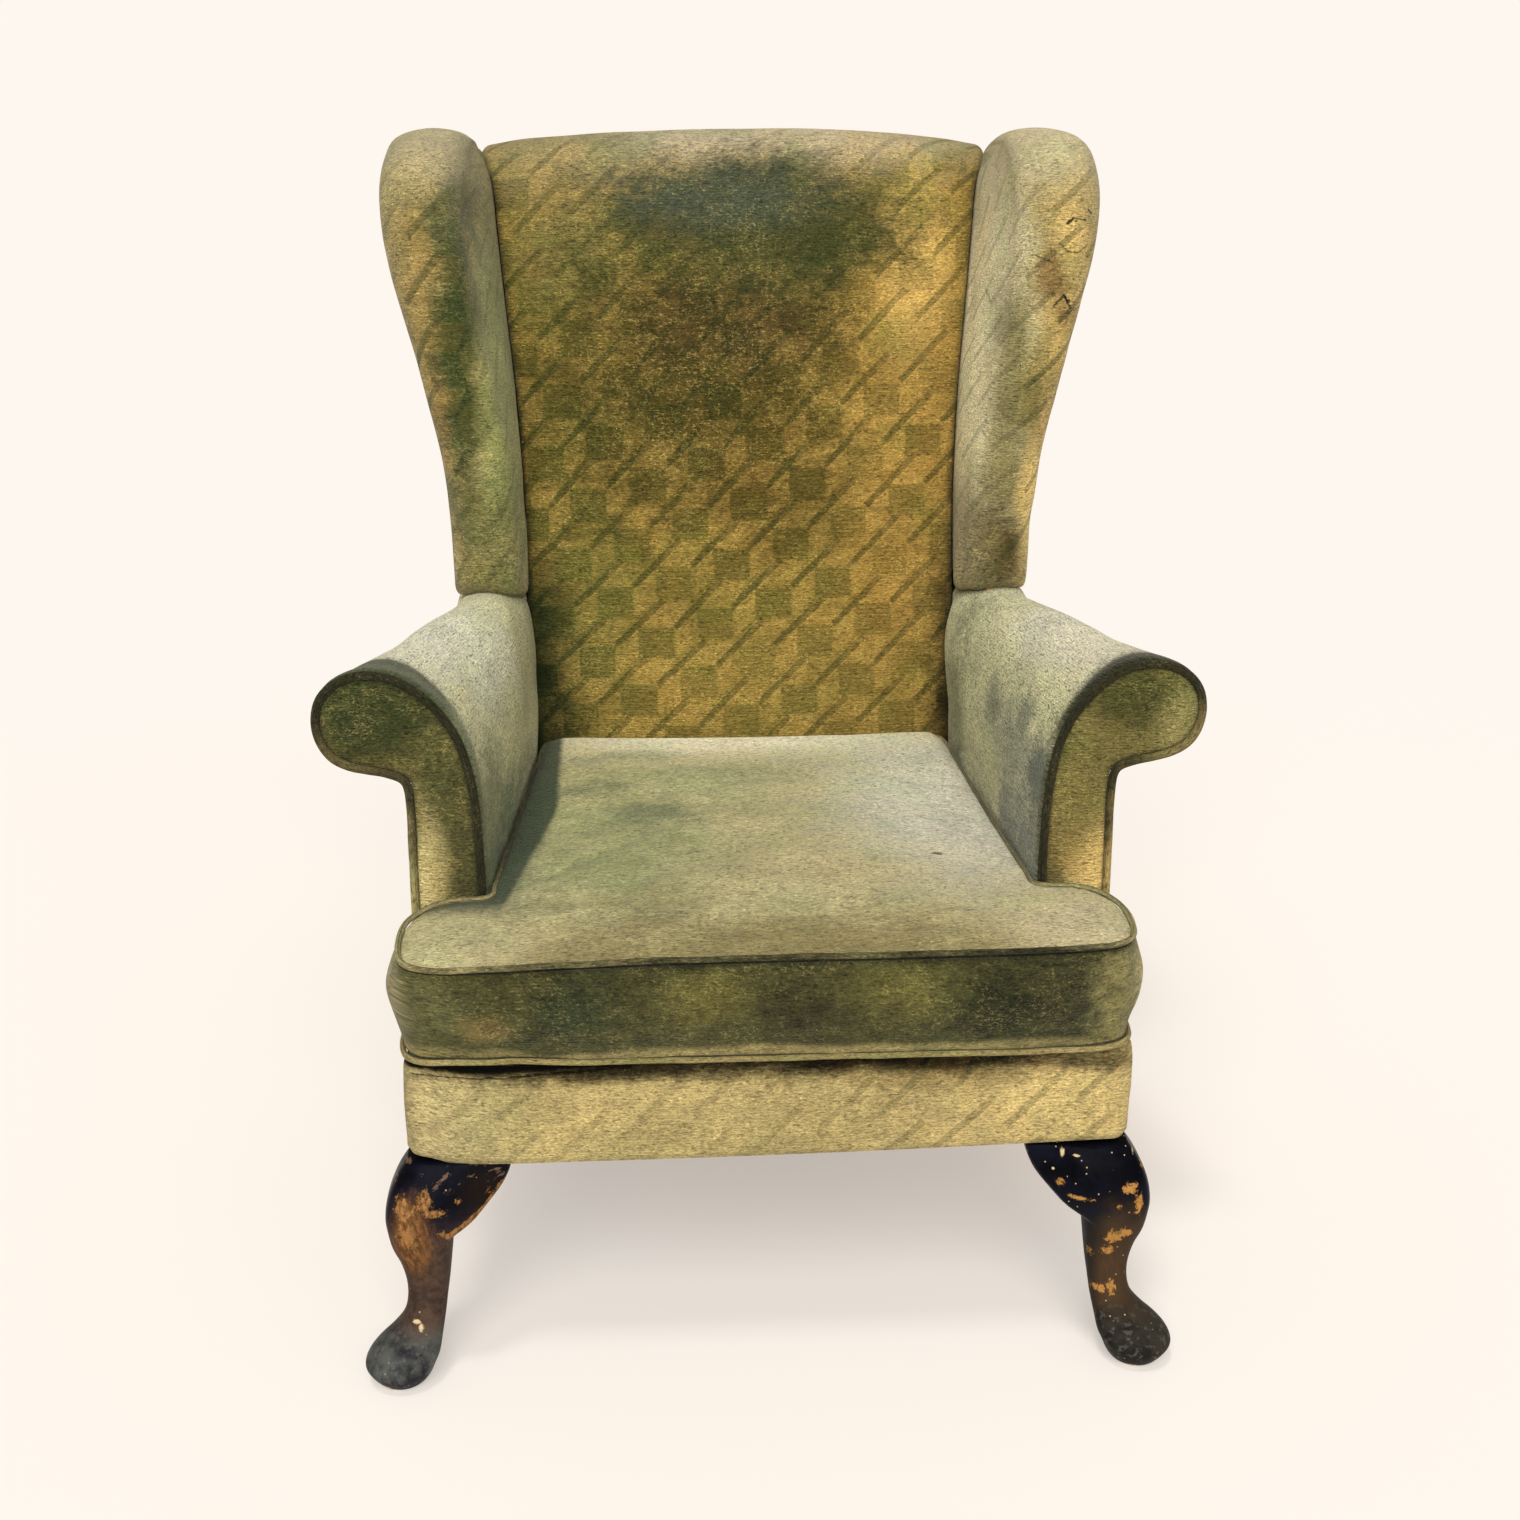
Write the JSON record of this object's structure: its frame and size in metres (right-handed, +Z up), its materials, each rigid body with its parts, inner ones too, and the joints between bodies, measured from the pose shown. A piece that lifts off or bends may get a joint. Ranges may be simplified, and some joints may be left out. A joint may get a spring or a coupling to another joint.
{
  "type": "wing armchair",
  "caption": "Sagging old wing armchair with scroll arms, a loose piped T-shaped seat cushion and curved front legs; green and gold weave, faded, stained, snagged; chipped dark legs.",
  "frame": {"origin": "on the floor under the middle of the chair's bounding box", "axes": "+Z up, -Y towards the front of the chair, +X to the right of someone looking at its front"},
  "size_m": [0.78, 0.7693, 1.047],
  "materials": {
    "painted_wood": "very dark paint over brown wood, worn and chipped through",
    "beech": "plain unfinished beech",
    "spring_steel": "dull oiled spring wire",
    "webbing": "woven jute",
    "felt": "grey brown felt",
    "bottom_cloth": "thin black cloth",
    "piping": "dark green cloth over cord, worn",
    "facing_cloth": "dull green chenille, soiled",
    "cushion_cloth": "faded sage green chenille, stained",
    "back_cloth": "gold and green figured weave, stained",
    "cover_cloth": "faded green and straw figured weave, soiled"
  },
  "bodies": {
    "root": {"arm_facing_left": "facing_cloth", "arm_facing_right": "facing_cloth", "arm_pad_left": "cover_cloth", "arm_pad_right": "cover_cloth", "arm_piping_left": "piping", "arm_piping_right": "piping", "arm_post_left": "beech", "arm_post_right": "beech", "arm_rail_left": "beech", "arm_rail_right": "beech", "arm_tack_rail_left": "beech", "arm_tack_rail_right": "beech", "back_lower_rail": "beech", "back_seat_rail": "beech", "back_top_rail": "beech", "back_web_cross_1": "webbing", "back_web_cross_2": "webbing", "back_web_cross_3": "webbing", "back_web_upright_1": "webbing", "back_web_upright_2": "webbing", "back_web_upright_3": "webbing", "bottom_cloth": "bottom_cloth", "cushion_piping_bottom": "piping", "cushion_piping_top": "piping", "front_border": "cover_cloth", "front_corner_block_left": "beech", "front_corner_block_right": "beech", "front_edge_roll": "felt", "front_knee_bracket_left": "painted_wood", "front_knee_bracket_right": "painted_wood", "front_leg_left": "painted_wood", "front_leg_right": "painted_wood", "front_seat_rail": "beech", "inside_back": "back_cloth", "outside_arm_left": "cover_cloth", "outside_arm_right": "cover_cloth", "outside_back": "cover_cloth", "outside_wing_left": "cover_cloth", "outside_wing_right": "cover_cloth", "rear_corner_block_left": "beech", "rear_corner_block_right": "beech", "rear_post_left": "painted_wood", "rear_post_right": "painted_wood", "seat_cushion": "cushion_cloth", "seat_platform": "felt", "seat_spring_1": "spring_steel", "seat_spring_2": "spring_steel", "seat_spring_3": "spring_steel", "seat_spring_4": "spring_steel", "seat_spring_5": "spring_steel", "side_knee_bracket_left": "painted_wood", "side_knee_bracket_right": "painted_wood", "side_seat_rail_left": "beech", "side_seat_rail_right": "beech", "wing_pad_left": "cover_cloth", "wing_pad_right": "cover_cloth", "wing_post_left": "beech", "wing_post_right": "beech", "wing_top_rail_left": "beech", "wing_top_rail_right": "beech"}
  },
  "joints": []
}
